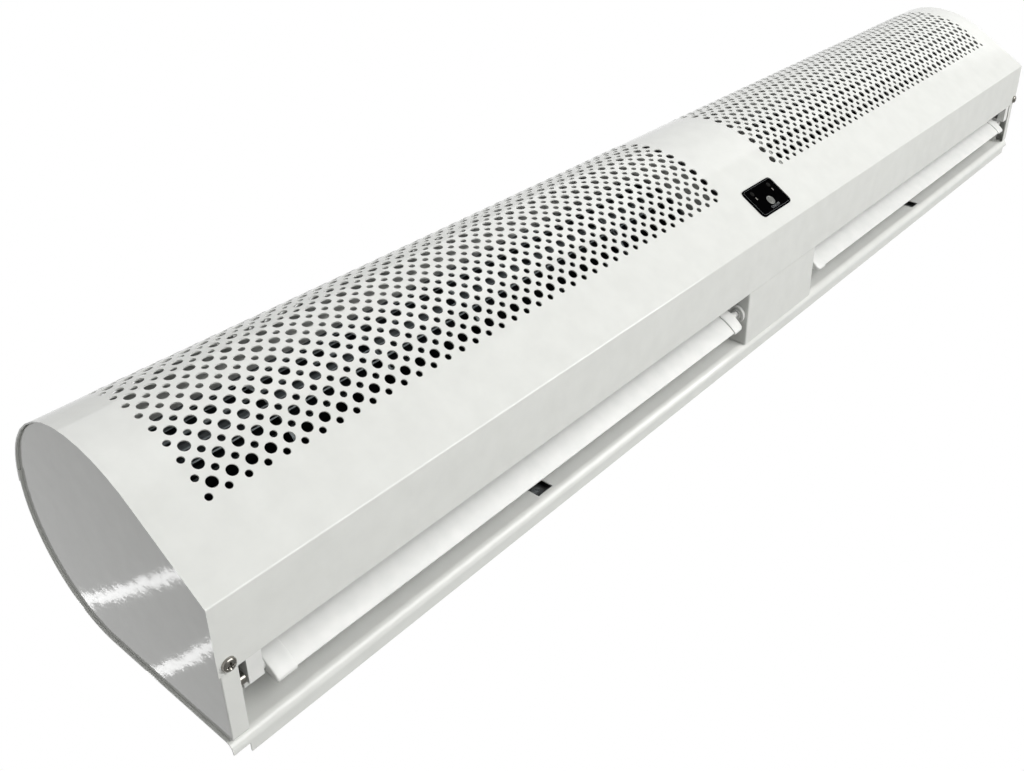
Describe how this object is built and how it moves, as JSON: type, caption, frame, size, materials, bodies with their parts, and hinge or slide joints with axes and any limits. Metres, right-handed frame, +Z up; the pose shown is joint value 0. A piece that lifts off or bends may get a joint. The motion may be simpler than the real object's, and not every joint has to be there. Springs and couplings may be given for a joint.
{
  "type": "air curtain",
  "caption": "Long white overhead air curtain with a domed perforated cover, downward outlet slots with tilting vanes, a small control panel and a wall plate.",
  "frame": {"origin": "middle of the wall plate's rear face, 54 mm above the outlet plane", "axes": "+X along the length, -Y out from the wall into the room, +Z up; the outlets face down (-Z)"},
  "size_m": [1.2, 0.1674, 0.1986],
  "materials": {
    "white_paint": "smooth warm white powder coat with a soft gloss",
    "zinc_steel": "plain zinc-plated steel",
    "nickel": "bright nickel plate",
    "aluminium": "plain mill finish",
    "rubber": "matt black",
    "motor_enamel": "satin grey enamel",
    "white_plastic": "satin white moulding",
    "black_gloss": "polished black",
    "dark_plastic": "fine matt moulding",
    "board_green": "coated glass-fibre board"
  },
  "bodies": {
    "casing": {"front_cover": "white_paint", "rear_panel": "white_paint", "end_plate_left": "white_paint", "end_plate_right": "white_paint", "bearing_bracket_left": "white_paint", "bearing_bracket_right": "white_paint", "bay_wall_left": "white_paint", "bay_wall_right": "white_paint", "bay_outlet_face": "white_paint", "wall_plate": "zinc_steel", "lock_screw_left": "zinc_steel", "lock_screw_right": "zinc_steel", "rear_guide_left": "zinc_steel", "rear_guide_right": "zinc_steel", "air_tongue_left": "zinc_steel", "air_tongue_right": "zinc_steel", "motor_cradle": "zinc_steel", "motor_clamp_left": "zinc_steel", "motor_clamp_right": "zinc_steel", "cover_screw_left": "nickel", "cover_screw_right": "nickel", "ball_bearing_left": "nickel", "ball_bearing_right": "nickel", "spring_clip_left": "nickel", "spring_clip_right": "nickel", "motor_end_bell_left": "aluminium", "motor_end_bell_right": "aluminium", "bearing_bush_left": "rubber", "bearing_bush_right": "rubber", "motor_ring_left": "rubber", "motor_ring_right": "rubber", "cable_grommet": "rubber", "motor_stator": "motor_enamel", "pivot_block_left": "white_plastic", "pivot_block_right": "white_plastic", "pivot_disc_left": "white_plastic", "pivot_disc_right": "white_plastic", "light_left": "white_plastic", "light_right": "white_plastic", "terminal_block": "white_plastic", "control_fascia": "black_gloss", "receiver_left": "black_gloss", "receiver_right": "black_gloss", "control_housing": "dark_plastic", "switch_body": "dark_plastic", "run_capacitor": "dark_plastic", "circuit_board": "board_green"},
    "rotor": {"motor_shaft": "zinc_steel", "impeller_left": "aluminium", "impeller_right": "aluminium", "stub_shaft_left": "zinc_steel", "stub_shaft_right": "zinc_steel"},
    "vane_left_set": {"vane_left": "white_plastic", "vane_cap_outer_left": "white_plastic", "vane_cap_inner_left": "white_plastic"},
    "vane_right_set": {"vane_right": "white_plastic", "vane_cap_outer_right": "white_plastic", "vane_cap_inner_right": "white_plastic"},
    "button": {"push_button": "nickel"}
  },
  "joints": [
    {"name": "rotor_spin", "type": "hinge", "parent": "casing", "child": "rotor", "pos_m": [0, -0.09155, 0.05627], "axis": [1, 0, 0], "continuous": true},
    {"name": "vane_left_tilt", "type": "hinge", "parent": "casing", "child": "vane_left_set", "pos_m": [0, -0.0425, -0.043], "axis": [1, 0, 0], "range_deg": [-45, 15]},
    {"name": "vane_right_tilt", "type": "hinge", "parent": "casing", "child": "vane_right_set", "pos_m": [0, -0.0425, -0.043], "axis": [1, 0, 0], "range_deg": [-45, 15]},
    {"name": "button_press", "type": "slide", "parent": "casing", "child": "button", "axis": [0, 0.8443, 0.5358], "range_m": [0, 0.0008], "stiffness_N_per_m": 1200, "springref_m": -0.0005}
  ]
}
